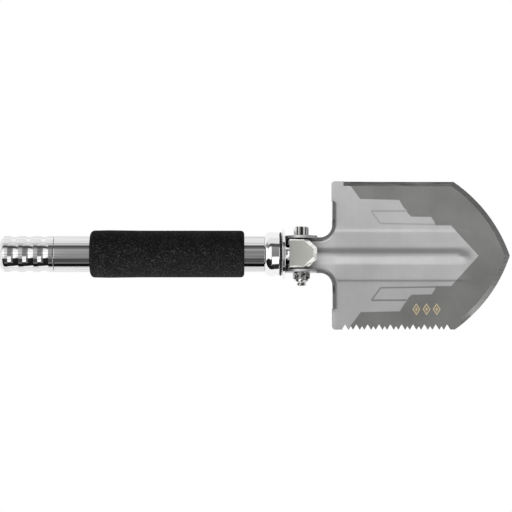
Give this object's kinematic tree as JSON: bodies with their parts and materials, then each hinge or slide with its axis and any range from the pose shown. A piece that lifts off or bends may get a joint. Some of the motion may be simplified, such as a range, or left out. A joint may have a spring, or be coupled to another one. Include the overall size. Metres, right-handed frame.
{
  "type": "folding detecting shovel",
  "caption": "Short take-apart folding shovel: dished pointed steel blade with a saw edge, hinged on a block that screws into a foam-gripped hollow handle.",
  "frame": {"origin": "middle of the bounding box in X and Y, at its lowest point in Z", "axes": "+X from the tail cap to the blade's tip along the handle, +Y across the blade towards its plain edge, +Z out of the blade's front face"},
  "size_m": [0.4526, 0.1324, 0.052],
  "materials": {
    "mirror_aluminium": "polished, fine lengthwise lines",
    "grip_foam": "closed-cell foam, matte, fine speckle",
    "bright_chrome": "bright plated, turned",
    "black_rubber": "smooth matte",
    "insert_brass": "turned",
    "pin_steel": "plain ground",
    "block_steel": "satin milled",
    "bolt_steel": "zinc plated",
    "white_nylon": "moulded",
    "black_nylon": "moulded",
    "blade_steel": "satin, two-tone etched panels"
  },
  "bodies": {
    "handle": {"handle_tube": "mirror_aluminium", "foam_grip": "grip_foam", "front_collar": "bright_chrome", "collar_thread_insert": "insert_brass", "collar_seal_ring": "black_rubber", "collar_cross_pin": "pin_steel", "tail_thread_insert": "insert_brass"},
    "clamp_rings": {"rubber_ring": "black_rubber", "thrust_washer": "bright_chrome"},
    "pivot_head": {"pivot_block": "block_steel", "stud_stop_ring": "pin_steel", "pivot_bush": "insert_brass", "friction_washer_left": "black_nylon", "friction_washer_right": "black_nylon"},
    "blade": {"blade": "blade_steel", "pivot_bolt": "bolt_steel", "lock_nut": "bolt_steel", "lock_nut_insert": "white_nylon"},
    "cap_seal": {"tail_seal": "black_rubber"},
    "cap": {"tail_cap": "mirror_aluminium"}
  },
  "joints": [
    {"name": "head_slide", "type": "slide", "parent": "handle", "child": "clamp_rings", "axis": [1, 0, 0], "range_m": [0, 0.00601]},
    {"name": "head_spin", "type": "hinge", "parent": "clamp_rings", "child": "pivot_head", "pos_m": [0.03753, 0, 0.03], "axis": [1, 0, 0], "range_deg": [0, 1080]},
    {"name": "blade_fold", "type": "hinge", "parent": "pivot_head", "child": "blade", "pos_m": [0.03753, 0, 0.03], "axis": [0, -1, 0], "range_deg": [0, 180]},
    {"name": "cap_slide", "type": "slide", "parent": "handle", "child": "cap_seal", "axis": [-1, 0, 0], "range_m": [0, 0.01201]},
    {"name": "cap_spin", "type": "hinge", "parent": "cap_seal", "child": "cap", "pos_m": [-0.17897, 0, 0.03], "axis": [-1, 0, 0], "range_deg": [0, 2160]}
  ],
  "couplings": [
    {"joint": "head_slide", "follows": "head_spin", "m_per_rad": 0.00031831},
    {"joint": "cap_slide", "follows": "cap_spin", "m_per_rad": 0.00031831}
  ]
}
